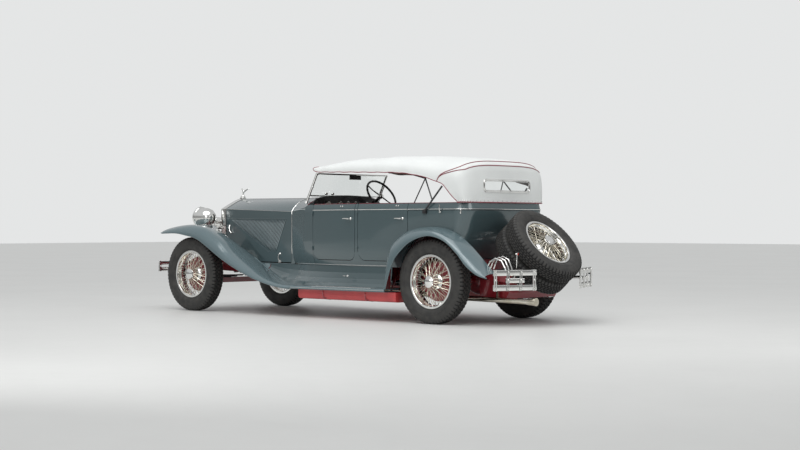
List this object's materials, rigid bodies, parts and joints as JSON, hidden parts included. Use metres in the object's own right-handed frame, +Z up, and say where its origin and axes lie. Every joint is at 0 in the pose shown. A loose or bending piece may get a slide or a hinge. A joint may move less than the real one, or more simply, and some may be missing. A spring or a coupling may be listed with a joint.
{
  "type": "touring car",
  "caption": "Large open four-door touring car of the 1920s with wire wheels, sweeping wings, folding cloth top and two leaning rear spare wheels.",
  "frame": {"origin": "centre of the bounding box's base, on the floor between the wheels", "axes": "+X forward along the car, +Y to the car's left, +Z up"},
  "size_m": [5.6334, 1.73, 1.7207],
  "materials": {
    "body_paint": "gloss blue-grey coach paint",
    "chassis_red": "gloss dark red chassis paint",
    "bright_metal": "polished plate",
    "dark_iron": "black stoved finish",
    "rubber_tyre": "black treaded rubber",
    "hide": "dark red hide",
    "top_cloth": "off-white coated cloth",
    "clear_glass": "clear plate glass"
  },
  "bodies": {
    "chassis": {"frame_rails": "chassis_red", "engine_block": "dark_iron", "front_axle": "chassis_red", "rear_axle": "chassis_red", "leaf_springs": "dark_iron", "spare_wheels": "bright_metal", "spare_tyres": "rubber_tyre", "spare_carrier": "dark_iron", "radiator_shell": "bright_metal", "radiator_core": "dark_iron", "headlamps": "bright_metal", "front_bumper": "bright_metal", "rear_bumper": "bright_metal", "front_wings": "body_paint", "rear_wings": "body_paint", "running_boards": "body_paint", "side_valances": "body_paint", "chassis_trays": "chassis_red", "rear_apron": "body_paint", "bonnet_hinge": "bright_metal", "cowl": "body_paint", "bulkhead": "dark_iron", "body_tub": "body_paint", "cabin_floor": "dark_iron", "windscreen_frame": "bright_metal", "windscreen_glass": "clear_glass", "dashboard": "dark_iron", "front_seat": "hide", "rear_seat": "hide", "top_cover": "top_cloth", "top_irons": "dark_iron", "rear_window": "bright_metal", "fuel_tank": "chassis_red", "exhaust": "dark_iron"},
    "knuckle_left": {"knuckle_left": "chassis_red"},
    "knuckle_right": {"knuckle_right": "chassis_red"},
    "steering_wheel": {"steering_wheel": "dark_iron"},
    "front_wheel_left": {"wheel_front_left": "bright_metal", "tyre_front_left": "rubber_tyre"},
    "rear_wheel_left": {"wheel_rear_left": "bright_metal", "tyre_rear_left": "rubber_tyre"},
    "door_front_left": {"door_front_left": "body_paint"},
    "door_rear_left": {"door_rear_left": "body_paint"},
    "bonnet_top_left": {"bonnet_top_left": "body_paint"},
    "bonnet_side_left": {"bonnet_side_left": "body_paint"},
    "front_wheel_right": {"wheel_front_right": "bright_metal", "tyre_front_right": "rubber_tyre"},
    "rear_wheel_right": {"wheel_rear_right": "bright_metal", "tyre_rear_right": "rubber_tyre"},
    "door_front_right": {"door_front_right": "body_paint"},
    "door_rear_right": {"door_rear_right": "body_paint"},
    "bonnet_top_right": {"bonnet_top_right": "body_paint"},
    "bonnet_side_right": {"bonnet_side_right": "body_paint"}
  },
  "joints": [
    {"name": "steer_left", "type": "hinge", "parent": "chassis", "child": "knuckle_left", "pos_m": [2.03668, 0.585, 0.425], "axis": [0, 0, 1], "range_deg": [-30, 30]},
    {"name": "roll_front_left", "type": "hinge", "parent": "knuckle_left", "child": "front_wheel_left", "pos_m": [2.03668, 0.71, 0.425], "axis": [0, 1, 0], "continuous": true},
    {"name": "roll_rear_left", "type": "hinge", "parent": "chassis", "child": "rear_wheel_left", "pos_m": [-1.66332, 0.71, 0.425], "axis": [0, 1, 0], "continuous": true},
    {"name": "open_door_front_left", "type": "hinge", "parent": "chassis", "child": "door_front_left", "pos_m": [0.16968, 0.63307, 0.9], "axis": [0, 0, -1], "range_deg": [0, 65]},
    {"name": "open_door_rear_left", "type": "hinge", "parent": "chassis", "child": "door_rear_left", "pos_m": [-0.60132, 0.72999, 0.9], "axis": [0, 0, -1], "range_deg": [0, 65]},
    {"name": "lift_bonnet_left", "type": "hinge", "parent": "chassis", "child": "bonnet_top_left", "pos_m": [0.63668, 0, 1.2934], "axis": [1, 0, 0.006], "range_deg": [0, 30]},
    {"name": "fold_bonnet_side_left", "type": "hinge", "parent": "bonnet_top_left", "child": "bonnet_side_left", "pos_m": [0.63668, 0.499, 1.139], "axis": [-0.9885, 0.1486, -0.0282], "range_deg": [0, 24]},
    {"name": "steer_right", "type": "hinge", "parent": "chassis", "child": "knuckle_right", "pos_m": [2.03668, -0.585, 0.425], "axis": [0, 0, 1], "range_deg": [-30, 30]},
    {"name": "roll_front_right", "type": "hinge", "parent": "knuckle_right", "child": "front_wheel_right", "pos_m": [2.03668, -0.71, 0.425], "axis": [0, 1, 0], "continuous": true},
    {"name": "roll_rear_right", "type": "hinge", "parent": "chassis", "child": "rear_wheel_right", "pos_m": [-1.66332, -0.71, 0.425], "axis": [0, 1, 0], "continuous": true},
    {"name": "open_door_front_right", "type": "hinge", "parent": "chassis", "child": "door_front_right", "pos_m": [0.16968, -0.63307, 0.9], "axis": [0, 0, 1], "range_deg": [0, 65]},
    {"name": "open_door_rear_right", "type": "hinge", "parent": "chassis", "child": "door_rear_right", "pos_m": [-0.60132, -0.72999, 0.9], "axis": [0, 0, 1], "range_deg": [0, 65]},
    {"name": "lift_bonnet_right", "type": "hinge", "parent": "chassis", "child": "bonnet_top_right", "pos_m": [0.63668, 0, 1.2934], "axis": [-1, 0, -0.006], "range_deg": [0, 30]},
    {"name": "fold_bonnet_side_right", "type": "hinge", "parent": "bonnet_top_right", "child": "bonnet_side_right", "pos_m": [0.63668, -0.499, 1.139], "axis": [0.9885, 0.1486, 0.0282], "range_deg": [0, 24]},
    {"name": "turn_steering_wheel", "type": "hinge", "parent": "chassis", "child": "steering_wheel", "pos_m": [0.04368, -0.35, 1.339], "axis": [-0.8192, 0, 0.5736], "range_deg": [-360, 360]}
  ],
  "couplings": [
    {"joint": "steer_right", "follows": "steer_left", "ratio": 1},
    {"joint": "turn_steering_wheel", "follows": "steer_left", "ratio": 12},
    {"joint": "fold_bonnet_side_left", "follows": "lift_bonnet_left", "ratio": 0.8},
    {"joint": "fold_bonnet_side_right", "follows": "lift_bonnet_right", "ratio": 0.8}
  ]
}
